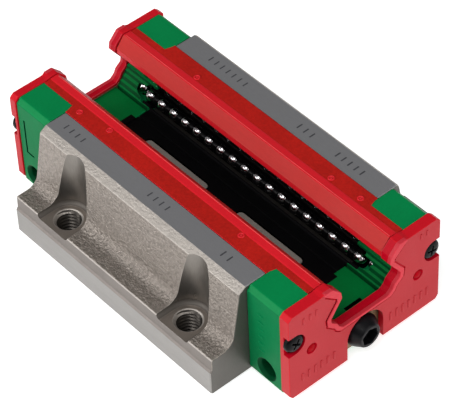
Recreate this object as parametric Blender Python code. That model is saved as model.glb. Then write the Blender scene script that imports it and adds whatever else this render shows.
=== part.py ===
"""Flanged linear guide carriage (long block, size 20), modelled upside down:
the mounting face lies on Z = 0 and the rail channel opens upwards.

Frame: origin at the centre of the mounting face, +X along the rail,
+Y across the flanges, +Z away from the mounting face.  Metres.
The driving dimensions below are in millimetres and are scaled by MM.
"""
import math

import bmesh
import bpy
from mathutils import Vector

MM = 0.001

# ---------------------------------------------------------------- dimensions
GAP = 0.3                    # clearance between neighbouring solids

BLOCK_HALF = 32.6            # half length of the steel block (65.2 long)
BLOCK_TOP = 25.4             # ground strip either side of the channel
FLANGE_HALF = 31.5           # half width over the flanges (63 wide)
FLANGE_TOP = 10.2
EDGE_Z = 6.8                 # ground datum edge ends here
HOLE_X, HOLE_Y = 20.0, 26.5  # mounting holes, 40 x 53 pattern
HOLE_R = 2.5                 # M6 minor radius
POCKET_R, POCKET_Z = 5.3, 9.3

CAP_START, CAP_END = BLOCK_HALF + GAP, 42.56
CAP_HALF = 20.9
SEAL_START, SEAL_END = 42.86, 45.7
SEAL_HALF, SEAL_LOW, SEAL_TOP = 21.1, 1.85, 25.6
POCKET_DEPTH_X = 44.06       # the seal's rear pocket ends here
PLATE_START, PLATE_END = 42.96, 43.76

PORT_Z = 6.0                 # lubrication port in the end face
PORT_HOLE_R = 2.75
SIDE_PORT_X, SIDE_PORT_Z = 38.05, 4.4
SCREW_Y, SCREW_Z = 19.1, 16.9

BALL_R = 1.5875              # 3.175 mm balls
PITCH = 4.0                  # ball spacing in the spacer chain
LINK_R = 0.5
BALLS = 41                   # balls in one circuit
PASSAGE_R = 2.0              # circumscribed radius of the turn passages
BORE_R = 2.68                # return bores in the steel
TUBE_OUT, TUBE_IN = 2.3, 1.98
CIRCUITS = {                 # loaded row (Y, Z) and return row (Y, Z)
    "deep": ((9.35, 13.2), (16.4, 11.4)),
    "shallow": ((9.0, 20.9), (16.28, 20.75)),
}

STRIP_HALF = 42.5            # half length of the longitudinal seals


# ------------------------------------------------------------------- helpers
def clear_scene():
    for ob in list(bpy.data.objects):
        bpy.data.objects.remove(ob, do_unlink=True)


def material(name, colour, roughness, metallic=0.0):
    mat = bpy.data.materials.new(name)
    mat.use_nodes = True
    bsdf = mat.node_tree.nodes["Principled BSDF"]
    bsdf.inputs["Base Color"].default_value = (*colour, 1.0)
    bsdf.inputs["Roughness"].default_value = roughness
    bsdf.inputs["Metallic"].default_value = metallic
    mat.diffuse_color = (*colour, 1.0)
    return mat


def add(name, bm, mat=None, origin=(0.0, 0.0, 0.0), smooth=None):
    """Turn a bmesh in millimetres into an object with the given origin."""
    o = Vector(origin)
    for v in bm.verts:
        v.co = (v.co - o) * MM
    bmesh.ops.recalc_face_normals(bm, faces=bm.faces[:])
    mesh = bpy.data.meshes.new(name)
    bm.to_mesh(mesh)
    bm.free()
    if smooth is not None:
        mesh.shade_smooth()
        mesh.set_sharp_from_angle(angle=math.radians(smooth))
    ob = bpy.data.objects.new(name, mesh)
    ob.location = o * MM
    bpy.context.scene.collection.objects.link(ob)
    if mat is not None:
        mesh.materials.append(mat)
    return ob


def as_cutter(ob):
    ob.hide_render = True
    ob.display_type = 'WIRE'
    return ob


def cut(ob, cutter):
    mod = ob.modifiers.new("cut_" + cutter.name, 'BOOLEAN')
    mod.operation = 'DIFFERENCE'
    mod.solver = 'EXACT'
    mod.object = cutter


def loft(bm, rings, close=True):
    """Skin a list of equal rings of points and cap both ends."""
    rows = [[bm.verts.new(p) for p in ring] for ring in rings]
    n = len(rows[0])
    for a, b in zip(rows, rows[1:]):
        for i in range(n):
            j = (i + 1) % n
            bm.faces.new((a[i], a[j], b[j], b[i]))
    if close:
        bm.faces.new(rows[0])
        bm.faces.new(rows[-1][::-1])
    return rows


def prism_x(bm, outline, x0, x1):
    """Extrude a (Y, Z) outline along X."""
    loft(bm, [[(x0, y, z) for y, z in outline], [(x1, y, z) for y, z in outline]])


def prism_z(bm, outline, z0, z1):
    loft(bm, [[(x, y, z0) for x, y in outline], [(x, y, z1) for x, y in outline]])


def mirrored(half):
    """Close a half outline, given from Y = 0 outwards and back to Y = 0."""
    other = [(-y, z) for y, z in reversed(half) if abs(y) > 1e-6]
    return half + other


def arc(cy, cz, r, a0, a1, n):
    """Points on an arc from a0 to a1 degrees, both ends included."""
    out = []
    for i in range(n + 1):
        a = math.radians(a0 + (a1 - a0) * i / n)
        out.append((cy + r * math.cos(a), cz + r * math.sin(a)))
    return out


def lathe(bm, profile, centre, axis, n, phase=0.0):
    """Turn (distance, radius) points round an axis through centre."""
    c = Vector(centre)
    w = Vector(axis).normalized()
    u = Vector((0, 0, 1)) if abs(w.z) < 0.9 else Vector((1, 0, 0))
    u = (u - w * u.dot(w)).normalized()
    v = w.cross(u)
    rings = []
    for d, r in profile:
        rings.append([tuple(c + w * d + (u * math.cos(t) + v * math.sin(t)) * r)
                      for t in (phase + 2 * math.pi * i / n for i in range(n))])
    loft(bm, rings)


def offset_line(points, d):
    """Move an open polyline sideways by d, with mitred corners."""
    out = []
    for i, p in enumerate(points):
        dirs = []
        if i > 0:
            dirs.append((Vector(p) - Vector(points[i - 1])).normalized())
        if i < len(points) - 1:
            dirs.append((Vector(points[i + 1]) - Vector(p)).normalized())
        normals = [Vector((-t.y, t.x)) for t in dirs]
        n = sum(normals, Vector((0.0, 0.0)))
        n.normalize()
        k = max(0.5, n.dot(normals[0]))
        out.append(tuple(Vector(p) + n * (d / k)))
    return out


# ---------------------------------------------------------------- ball train
class Circuit:
    """A closed racetrack: loaded row, turn, return row, turn."""

    def __init__(self, loaded, back, side):
        self.a = Vector((0.0, side * loaded[0], loaded[1]))
        self.b = Vector((0.0, side * back[0], back[1]))
        self.mid = (self.a + self.b) / 2
        self.across = (self.b - self.a).normalized()
        self.r = (self.b - self.a).length / 2
        self.total = BALLS * PITCH
        self.half = (self.total - 2 * math.pi * self.r) / 4
        self.normal = Vector((1, 0, 0)).cross(self.across)

    def at(self, s):
        """Point and tangent at distance s from the middle of the loaded row."""
        x = Vector((1.0, 0.0, 0.0))
        turn = math.pi * self.r
        s = (s + self.half) % self.total
        if s <= 2 * self.half:
            return self.a + x * (s - self.half), x
        s -= 2 * self.half
        if s <= turn:
            t = s / self.r
            p = self.mid + x * (self.half + self.r * math.sin(t)) - self.across * (self.r * math.cos(t))
            return p, x * math.cos(t) + self.across * math.sin(t)
        s -= turn
        if s <= 2 * self.half:
            return self.b + x * (self.half - s), -x
        s -= 2 * self.half
        t = s / self.r
        p = self.mid - x * (self.half + self.r * math.sin(t)) + self.across * (self.r * math.cos(t))
        return p, -x * math.cos(t) - self.across * math.sin(t)

    def ring(self, s, r, n, phase=0.0):
        p, t = self.at(s)
        side = self.normal.cross(t)
        return [tuple(p + side * (r * math.cos(q)) + self.normal * (r * math.sin(q)))
                for q in (phase + 2 * math.pi * i / n for i in range(n))]


def ball_chain(name, circuit, first, count, mat, origin):
    """Balls on the path, joined by their thin spacer link."""
    shoulder = math.sqrt(BALL_R ** 2 - LINK_R ** 2)
    rings = []
    for k in range(count):
        s = first + k * PITCH
        for d, r in ((-shoulder, LINK_R), (-0.5, BALL_R), (0.5, BALL_R), (shoulder, LINK_R)):
            rings.append(circuit.ring(s + d, r, 6))
    bm = bmesh.new()
    loft(bm, rings)
    return add(name, bm, mat, origin, smooth=50)


def turn_passage(bm, circuit, front, end):
    """The U-shaped tunnel in an end cap, from its inner face and back."""
    rings = []
    lead = circuit.half - end                  # straight part inside the cap
    steps = 12
    if front:
        start = circuit.half
    else:
        start = 3 * circuit.half + math.pi * circuit.r
    rings.append(circuit.ring(start - lead - 1.0, PASSAGE_R, 10))
    for i in range(steps + 1):
        rings.append(circuit.ring(start + math.pi * circuit.r * i / steps, PASSAGE_R, 10))
    rings.append(circuit.ring(start + math.pi * circuit.r + lead + 1.0, PASSAGE_R, 10))
    loft(bm, rings)


# ---------------------------------------------------------------- the object
def channel_half():
    """Half outline of the steel block's channel, from the strip seat inwards."""
    pts = [(15.9, 25.4), (15.9, 23.95), (9.9, 23.95)]
    pts += arc(9.0, 20.9, 2.0, 95, 0, 5)
    pts += [(12.2, 19.7), (12.2, 14.9)]
    pts += arc(9.35, 13.2, 2.0, 10, -100, 5)
    pts += [(8.0, 10.9), (7.2, 9.5), (0.0, 9.5)]
    return pts


def build_block(mats):
    outer = [(0.0, 0.0), (31.1, 0.0), (FLANGE_HALF, 0.4), (FLANGE_HALF, EDGE_Z),
             (31.0, EDGE_Z + 0.5), (30.9, FLANGE_TOP), (27.6, 10.3), (26.5, 10.95),
             (25.7, 12.3), (25.0, 14.1), (23.96, 18.5), (22.98, 24.15), (21.1, BLOCK_TOP)]
    bm = bmesh.new()
    prism_x(bm, mirrored(outer + channel_half()), -BLOCK_HALF, BLOCK_HALF)
    block = add("block_body", bm, mats["block_steel"])

    bm = bmesh.new()                            # milled pockets over the holes
    for sx in (-1, 1):
        for sy in (-1, 1):
            pts = [(HOLE_X + POCKET_R, 34.0)]
            pts += arc(HOLE_X, HOLE_Y, POCKET_R, 0, -180, 12)
            pts += [(HOLE_X - POCKET_R, 34.0)]
            prism_z(bm, [(sx * x, sy * y) for x, y in pts], POCKET_Z, 30.0)
    cut(block, as_cutter(add("cut_pockets", bm)))

    bm = bmesh.new()                            # mounting holes
    for sx in (-1, 1):
        for sy in (-1, 1):
            lathe(bm, [(-1.0, HOLE_R), (8.7, HOLE_R), (9.4, HOLE_R + 0.7), (10.5, HOLE_R + 1.8)],
                  (sx * HOLE_X, sy * HOLE_Y, 0.0), (0, 0, 1), 16)
    cut(block, as_cutter(add("cut_mounting_holes", bm)))

    bm = bmesh.new()                            # return bores and screw holes
    for sy in (-1, 1):
        for loaded, back in CIRCUITS.values():
            lathe(bm, [(-40.0, BORE_R), (40.0, BORE_R)], (0.0, sy * back[0], back[1]), (1, 0, 0), 12)
        for sx in (-1, 1):
            lathe(bm, [(25.0, 0.4), (25.8, 1.45), (34.0, 1.45)], (0.0, sy * SCREW_Y, SCREW_Z), (sx, 0, 0), 10)
    cut(block, as_cutter(add("cut_return_bores", bm)))
    return block


def build_cap(name, sx, mats, circuits):
    half = [(0.0, 0.45), (20.0, 0.45), (CAP_HALF, 1.3), (CAP_HALF, 24.4), (20.0, 25.3),
            (13.4, 25.3), (13.4, 23.95), (9.8, 23.95), (7.95, 22.1), (7.75, 21.3),
            (8.4, 20.3), (10.4, 18.6), (10.5, 17.3), (10.2, 15.9), (8.6, 13.9),
            (7.5, 12.2), (6.3, 11.7), (0.0, 11.7)]
    bm = bmesh.new()
    prism_x(bm, mirrored(half), sx * CAP_START, sx * CAP_END)
    cap = add(name, bm, mats["cap_plastic"])

    bm = bmesh.new()
    for circuit in circuits:
        turn_passage(bm, circuit, sx > 0, CAP_START)
    cut(cap, as_cutter(add("cut_turns_" + name, bm)))

    bm = bmesh.new()                            # ports and screw clearance
    lathe(bm, [(36.6, 0.8), (37.4, PORT_HOLE_R), (46.0, PORT_HOLE_R)], (0.0, 0.0, PORT_Z), (sx, 0, 0), 12)
    for sy in (-1, 1):
        lathe(bm, [(30.0, 1.5), (46.0, 1.5)], (0.0, sy * SCREW_Y, SCREW_Z), (sx, 0, 0), 10)
        lathe(bm, [(14.0, 0.8), (14.8, 2.1), (20.4, 2.1), (22.0, 3.7)],
              (sx * SIDE_PORT_X, 0.0, SIDE_PORT_Z), (0, sy, 0), 12)
    cut(cap, as_cutter(add("cut_ports_" + name, bm)))
    return cap


SEAL_OPENING = [(9.085, SEAL_TOP), (6.98, 23.52), (6.71, 21.79), (10.27, 17.38), (10.0, 16.25),
                (8.31, 14.96), (7.61, 13.65), (6.3, 12.7), (0.0, 12.6)]


def opening_offset(d, top):
    """The rail opening, widened by d and trimmed at the height top."""
    line = [(9.085 + 2.0, SEAL_TOP + 2.0 * 2.08 / 2.105)] + SEAL_OPENING[1:]
    moved = offset_line(line, d)
    (y0, z0), (y1, z1) = moved[0], moved[1]
    t = (top - z0) / (z1 - z0)
    moved[0] = (y0 + (y1 - y0) * t, top)
    moved[-1] = (0.0, SEAL_OPENING[-1][1] - abs(d))
    return moved


def build_seal(tag, sx, mats):
    half = [(0.0, SEAL_LOW), (19.9, SEAL_LOW), (SEAL_HALF, 2.75), (SEAL_HALF, 24.6), (20.1, SEAL_TOP)]
    bm = bmesh.new()
    prism_x(bm, mirrored(half + SEAL_OPENING), sx * SEAL_START, sx * SEAL_END)
    seal = add("end_seal_" + tag, bm, mats["seal_red"])

    bm = bmesh.new()                            # port cut-out, screw slots
    prism_x(bm, [(-4.9, 0.0), (4.9, 0.0)] + arc(0.0, 6.4, 4.9, 0, 180, 12), sx * 40.0, sx * 48.0)
    for sy in (-1, 1):
        slot = [(24.0, SCREW_Z + 2.75)] + arc(19.3, SCREW_Z, 2.75, 90, 270, 8) + [(24.0, SCREW_Z - 2.75)]
        prism_x(bm, [(sy * y, z) for y, z in slot], sx * 43.9, sx * 48.0)
    cut(seal, as_cutter(add("cut_slots_" + tag, bm)))

    pocket = [(0.0, 2.35), (20.4, 2.35), (20.4, 24.9)] + opening_offset(0.6, 24.9)
    bm = bmesh.new()
    prism_x(bm, mirrored(pocket), sx * 41.0, sx * POCKET_DEPTH_X)
    cut(seal, as_cutter(add("cut_pocket_" + tag, bm)))

    plate = [(0.0, 1.95), (4.8, 1.95), (4.8, 2.65), (20.1, 2.65), (20.1, SCREW_Z - 1.6)]
    plate += arc(SCREW_Y, SCREW_Z, 1.6, -90, -270, 6)
    plate += [(20.1, SCREW_Z + 1.6), (20.1, 24.6)] + opening_offset(0.9, 24.6)
    bm = bmesh.new()
    prism_x(bm, mirrored(plate), sx * PLATE_START, sx * PLATE_END)
    core = add("seal_core_plate_" + tag, bm, mats["plate_steel"])
    bm = bmesh.new()
    lathe(bm, [(40.0, PORT_HOLE_R), (48.0, PORT_HOLE_R)], (0.0, 0.0, PORT_Z), (sx, 0, 0), 12)
    cut(core, as_cutter(add("cut_plate_hole_" + tag, bm)))


def build_plug(tag, sx, mats):
    bm = bmesh.new()
    lathe(bm, [(37.8, 1.9), (38.3, 2.4), (44.06, 2.4), (44.06, 4.05), (44.5, 4.05), (46.9, 2.75), (47.1, 2.6)],
          (0.0, 0.0, PORT_Z), (sx, 0, 0), 14)
    plug = add("port_plug_" + tag, bm, mats["plug_black"], smooth=40)
    bm = bmesh.new()                            # hexagon socket, 4 mm across flats
    lathe(bm, [(44.9, 2.0 / math.cos(math.pi / 6)), (50.0, 2.0 / math.cos(math.pi / 6))],
          (0.0, 0.0, PORT_Z), (sx, 0, 0), 6)
    cut(plug, as_cutter(add("cut_hex_" + tag, bm)))


def build_screw(name, sx, sy, mats):
    bm = bmesh.new()
    lathe(bm, [(27.4, 0.8), (27.8, 1.15), (44.06, 1.15), (44.06, 2.25), (44.9, 2.25), (45.4, 1.9), (45.6, 1.2)],
          (0.0, sy * SCREW_Y, SCREW_Z), (sx, 0, 0), 10)
    screw = add(name, bm, mats["screw_black"], smooth=40)
    bm = bmesh.new()                            # cross recess
    w, l = 0.3, 1.25
    cross = [(w, w), (w, l), (-w, l), (-w, w), (-l, w), (-l, -w), (-w, -w), (-w, -l), (w, -l), (w, -w), (l, -w), (l, w)]
    prism_x(bm, [(sy * SCREW_Y + y, SCREW_Z + z) for y, z in cross], sx * 44.7, sx * 47.0)
    cut(screw, as_cutter(add("cut_cross_" + name, bm)))


def build_strip(name, sy, mats):
    """Longitudinal seal: a strip over the block's edge with a lip to the rail."""
    lip = [(9.3, 25.6), (7.2, 22.9), (7.2, 21.5), (7.7, 22.4), (9.6, 24.25)]
    bm = bmesh.new()
    prism_x(bm, [(sy * y, z) for y, z in [(15.6, 24.25), (15.6, 25.6)] + lip], -STRIP_HALF, STRIP_HALF)
    strip = add(name, bm, mats["seal_red"])
    bm = bmesh.new()                            # the strip is narrower over the end caps
    for sx in (-1, 1):
        prism_x(bm, [(sy * y, z) for y, z in ((13.1, 22.0), (18.0, 22.0), (18.0, 28.0), (13.1, 28.0))],
                sx * BLOCK_HALF, sx * 50.0)
    cut(strip, as_cutter(add("cut_ends_" + name, bm)))


def build_centre_retainer(mats):
    half = [(0.0, 9.8), (6.9, 9.8), (7.3, 10.4), (7.7, 11.6), (7.3, 12.0), (6.4, 11.5), (0.0, 11.5)]
    bm = bmesh.new()
    prism_x(bm, mirrored(half), -32.3, 32.3)
    plate = add("centre_retainer", bm, mats["retainer_black"])
    bm = bmesh.new()                            # two oblong windows
    for sx in (-1, 1):
        pts = []
        for a in range(-90, 91, 30):
            t = math.radians(a)
            pts.append((sx * (24.2 + 1.5 * math.cos(t)), 1.5 * math.sin(t)))
        for a in range(90, 271, 30):
            t = math.radians(a)
            pts.append((sx * (6.4 + 1.5 * math.cos(t)), 1.5 * math.sin(t)))
        prism_z(bm, pts, 8.0, 14.0)
    cut(plate, as_cutter(add("cut_windows", bm)))


def build_mid_retainer(name, sy, mats):
    pts = [(11.9, 15.2), (11.9, 19.4), (11.3, 19.4), (10.4, 18.9), (10.4, 15.4), (11.2, 14.9)]
    bm = bmesh.new()
    prism_x(bm, [(sy * y, z) for y, z in pts], -32.3, 32.3)
    add(name, bm, mats["retainer_black"])


def build_return_tube(name, circuit, mats):
    """Plastic liner of a return bore: a tube open at both ends."""
    bm = bmesh.new()
    n = 12
    y, z = circuit.b.y, circuit.b.z
    rings = []
    for x, r in ((-32.3, TUBE_IN), (-32.3, TUBE_OUT), (32.3, TUBE_OUT), (32.3, TUBE_IN)):
        rings.append([bm.verts.new((x, y + r * math.cos(2 * math.pi * i / n), z + r * math.sin(2 * math.pi * i / n)))
                      for i in range(n)])
    for a, b in zip(rings, rings[1:] + rings[:1]):
        for i in range(n):
            j = (i + 1) % n
            bm.faces.new((a[i], a[j], b[j], b[i]))
    add(name, bm, mats["tube_plastic"], smooth=40)


def main():
    clear_scene()
    mats = {
        "block_steel": material("block_steel", (0.33, 0.30, 0.28), 0.45, 0.9),
        "cap_plastic": material("cap_plastic", (0.01, 0.19, 0.06), 0.4),
        "seal_red": material("seal_red", (0.62, 0.02, 0.03), 0.45),
        "plate_steel": material("plate_steel", (0.20, 0.12, 0.06), 0.45, 0.7),
        "retainer_black": material("retainer_black", (0.01, 0.01, 0.01), 0.4),
        "tube_plastic": material("tube_plastic", (0.55, 0.55, 0.52), 0.4),
        "plug_black": material("plug_black", (0.012, 0.012, 0.014), 0.35, 0.4),
        "screw_black": material("screw_black", (0.014, 0.014, 0.016), 0.35, 0.6),
        "ball_steel": material("ball_steel", (0.75, 0.75, 0.76), 0.08, 1.0),
    }
    sides = {"left": 1, "right": -1}
    circuits = {}
    for side, sy in sides.items():
        for depth, (loaded, back) in CIRCUITS.items():
            circuits[depth + "_" + side] = Circuit(loaded, back, sy)

    build_block(mats)
    for tag, sx in (("front", 1), ("rear", -1)):
        build_cap("end_cap_" + tag, sx, mats, circuits.values())
        build_seal(tag, sx, mats)
        build_plug(tag, sx, mats)
        for side, sy in sides.items():
            build_screw("end_screw_%s_%s" % (tag, side), sx, sy, mats)
    for side, sy in sides.items():
        build_strip("bottom_seal_" + side, sy, mats)
        build_mid_retainer("mid_retainer_" + side, sy, mats)
    build_centre_retainer(mats)

    for key, circuit in circuits.items():
        build_return_tube("return_tube_" + key, circuit, mats)
        turn_front = circuit.mid + Vector((circuit.half, 0, 0))
        turn_rear = circuit.mid - Vector((circuit.half, 0, 0))
        ball_chain("loaded_balls_" + key, circuit, -34.0, 18, mats["ball_steel"], circuit.a)
        ball_chain("front_turn_balls_" + key, circuit, 38.0, 3, mats["ball_steel"], turn_front)
        ball_chain("return_balls_" + key, circuit, 50.0, 17, mats["ball_steel"], circuit.b)
        ball_chain("rear_turn_balls_" + key, circuit, 118.0, 3, mats["ball_steel"], turn_rear)


main()
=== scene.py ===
"""Looks of the flanged linear guide carriage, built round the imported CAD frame.

Lengths below are in millimetres and scaled by MM.  +X runs along the rail,
+Y across the flanges, +Z from the mounting face to the rail channel.
"""
import math

import bmesh
import bpy
from mathutils import Matrix, Vector


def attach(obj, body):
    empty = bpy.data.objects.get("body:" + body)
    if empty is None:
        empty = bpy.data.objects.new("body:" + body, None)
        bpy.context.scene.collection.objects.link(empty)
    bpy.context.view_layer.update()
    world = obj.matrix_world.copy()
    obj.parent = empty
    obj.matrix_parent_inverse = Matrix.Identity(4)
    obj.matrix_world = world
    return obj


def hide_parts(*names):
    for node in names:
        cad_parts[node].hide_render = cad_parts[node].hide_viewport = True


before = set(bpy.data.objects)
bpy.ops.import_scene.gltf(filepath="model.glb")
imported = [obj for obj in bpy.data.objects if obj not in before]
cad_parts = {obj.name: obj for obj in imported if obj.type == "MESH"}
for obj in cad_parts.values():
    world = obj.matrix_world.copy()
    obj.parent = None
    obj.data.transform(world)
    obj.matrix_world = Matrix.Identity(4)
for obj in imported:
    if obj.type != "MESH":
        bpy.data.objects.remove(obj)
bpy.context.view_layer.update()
MM = 0.001
BODY = "carriage"


# ------------------------------------------------------------------ outlines
def area2(p):
    return sum(a[0] * b[1] - b[0] * a[1] for a, b in zip(p, p[1:] + p[:1]))


def ccw(p):
    return p if area2(p) > 0 else p[::-1]


def mirrored(half):
    other = [(-p[0],) + tuple(p[1:]) for p in reversed(half) if abs(p[0]) > 1e-6]
    return list(half) + other


def flip(points, s):
    return [(s * p[0],) + tuple(p[1:]) for p in points]


def fit_ring(points, d=0.0, seg=4):
    """A counter-clockwise outline of corners (y, z, r), moved inwards by d and
    then rounded; every d gives the same number of points."""
    pts = [Vector(p[:2]) for p in points]
    rad = [p[2] if len(p) > 2 else 0.0 for p in points]
    n = len(pts)
    turn = []
    moved = []
    for i in range(n):
        u = (pts[i] - pts[i - 1]).normalized()
        v = (pts[(i + 1) % n] - pts[i]).normalized()
        nu, nv = Vector((-u.y, u.x)), Vector((-v.y, v.x))
        m = nu + nv
        if m.length < 1e-6:
            m = nu.copy()
        m.normalize()
        moved.append(pts[i] + m * (d / max(0.35, m.dot(nu))))
        turn.append(math.atan2(u.x * v.y - u.y * v.x, u.dot(v)))
    out = []
    for i in range(n):
        if rad[i] <= 0 or abs(turn[i]) < math.radians(4):
            out.append(tuple(moved[i]))
            continue
        b = moved[i]
        u, v = moved[i - 1] - b, moved[(i + 1) % n] - b
        lu, lv = u.length, v.length
        u.normalize()
        v.normalize()
        r = max(0.015, rad[i] - d) if turn[i] > 0 else rad[i] + d
        phi = math.pi - abs(turn[i])
        t = min(r / math.tan(phi / 2), lu * 0.47, lv * 0.47)
        rr = t * math.tan(phi / 2)
        c = b + (u + v).normalized() * (rr / math.sin(phi / 2))
        d0, d1 = b + u * t - c, b + v * t - c
        a0 = math.atan2(d0.y, d0.x)
        da = (math.atan2(d1.y, d1.x) - a0 + math.pi) % (2 * math.pi) - math.pi
        m = max(seg, int(rad[i] * 3))
        for k in range(m + 1):
            a = a0 + da * k / m
            out.append((c.x + rr * math.cos(a), c.y + rr * math.sin(a)))
    return out


def arc(cy, cz, r, a0, a1, n):
    return [(cy + r * math.cos(math.radians(a0 + (a1 - a0) * i / n)),
             cz + r * math.sin(math.radians(a0 + (a1 - a0) * i / n))) for i in range(n + 1)]


def offset_line(points, d):
    out = []
    for i, p in enumerate(points):
        dirs = []
        if i > 0:
            dirs.append((Vector(p) - Vector(points[i - 1])).normalized())
        if i < len(points) - 1:
            dirs.append((Vector(points[i + 1]) - Vector(p)).normalized())
        normals = [Vector((-t.y, t.x)) for t in dirs]
        n = sum(normals, Vector((0.0, 0.0)))
        n.normalize()
        out.append(tuple(Vector(p) + n * (d / max(0.5, n.dot(normals[0])))))
    return out


# -------------------------------------------------------------------- meshes
AXES = {
    "X": lambda u, v, w: (w, u, v),
    "Y": lambda u, v, w: (u, w, v),
    "Z": lambda u, v, w: (u, v, w),
}


def loft(bm, rings, mat=0, caps=True, cap_mat=None):
    rows = [[bm.verts.new(p) for p in ring] for ring in rings]
    n = len(rows[0])
    for a, b in zip(rows, rows[1:]):
        for i in range(n):
            j = (i + 1) % n
            bm.faces.new((a[i], a[j], b[j], b[i])).material_index = mat
    if caps:
        cm = mat if cap_mat is None else cap_mat
        bm.faces.new(rows[0][::-1]).material_index = cm
        bm.faces.new(rows[-1]).material_index = cm
    return rows


def prism(bm, outline, w0, w1, axis="X", b0=0.0, b1=0.0, steps=3, mat=0, seg=4):
    """Extrude an outline of corners (u, v, r) from w0 to w1, with rounded
    end edges of radius b0 and b1."""
    outline = ccw([tuple(p) for p in outline])
    put = AXES[axis]
    s = 1 if w1 > w0 else -1

    def ring(w, d):
        return [put(u, v, w) for u, v in fit_ring(outline, d, seg)]

    rings = []
    if b0 > 0:
        for k in range(steps):
            a = math.pi / 2 * k / steps
            rings.append(ring(w0 + s * b0 * (1 - math.cos(a)), b0 * (1 - math.sin(a))))
        rings.append(ring(w0 + s * b0, 0.0))
    else:
        rings.append(ring(w0, 0.0))
    if b1 > 0:
        rings.append(ring(w1 - s * b1, 0.0))
        for k in range(steps - 1, -1, -1):
            a = math.pi / 2 * k / steps
            rings.append(ring(w1 - s * b1 * (1 - math.cos(a)), b1 * (1 - math.sin(a))))
    else:
        rings.append(ring(w1, 0.0))
    loft(bm, rings, mat)


def basis(axis):
    w = Vector(axis).normalized()
    u = Vector((0, 0, 1)) if abs(w.z) < 0.9 else Vector((1, 0, 0))
    u = (u - w * u.dot(w)).normalized()
    return u, w.cross(u), w


def lathe(bm, profile, centre, axis, n, phase=0.0, mat=0):
    c = Vector(centre)
    u, v, w = basis(axis)
    rings = []
    for d, r in profile:
        rings.append([tuple(c + w * d + (u * math.cos(t) + v * math.sin(t)) * r)
                      for t in (phase + 2 * math.pi * i / n for i in range(n))])
    loft(bm, rings, mat)


def box(bm, lo, hi, mat=0):
    (x0, y0, z0), (x1, y1, z1) = lo, hi
    loft(bm, [[(x0, y0, z0), (x0, y1, z0), (x0, y1, z1), (x0, y0, z1)],
              [(x1, y0, z0), (x1, y1, z0), (x1, y1, z1), (x1, y0, z1)]], mat)


def build(name, bm, mats, smooth=35.0, weighted=True):
    for v in bm.verts:
        v.co *= MM
    bmesh.ops.recalc_face_normals(bm, faces=bm.faces[:])
    mesh = bpy.data.meshes.new(name)
    bm.to_mesh(mesh)
    bm.free()
    for m in mats:
        mesh.materials.append(m)
    ob = bpy.data.objects.new(name, mesh)
    bpy.context.scene.collection.objects.link(ob)
    ob["smooth"] = smooth
    ob["weighted"] = weighted
    return ob


def boolean(ob, cutter, op='DIFFERENCE'):
    mod = ob.modifiers.new("b", 'BOOLEAN')
    mod.operation = op
    mod.solver = 'EXACT'
    mod.material_mode = 'TRANSFER'
    mod.object = cutter
    dg = bpy.context.evaluated_depsgraph_get()
    mesh = bpy.data.meshes.new_from_object(ob.evaluated_get(dg), preserve_all_data_layers=True, depsgraph=dg)
    ob.modifiers.clear()
    old = ob.data
    ob.data = mesh
    mesh.name = ob.name
    bpy.data.meshes.remove(old)
    gone = cutter.data
    bpy.data.objects.remove(cutter)
    bpy.data.meshes.remove(gone)


def finish_piece(ob, body=BODY, replaces=()):
    bm = bmesh.new()
    bm.from_mesh(ob.data)
    bmesh.ops.remove_doubles(bm, verts=bm.verts[:], dist=2e-6)
    bmesh.ops.dissolve_degenerate(bm, edges=bm.edges[:], dist=1e-6)
    bm.to_mesh(ob.data)
    bm.free()
    ob.data.shade_smooth()
    ob.data.set_sharp_from_angle(angle=math.radians(ob["smooth"]))
    if ob["weighted"]:
        mod = ob.modifiers.new("even_normals", 'WEIGHTED_NORMAL')
        mod.keep_sharp = True
    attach(ob, body)
    if replaces:
        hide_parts(*replaces)
    return ob


# ----------------------------------------------------------------- materials
def lin(r, g, b):
    def f(c):
        c /= 255.0
        return c / 12.92 if c <= 0.04045 else ((c + 0.055) / 1.055) ** 2.4
    return (f(r), f(g), f(b))


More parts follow.
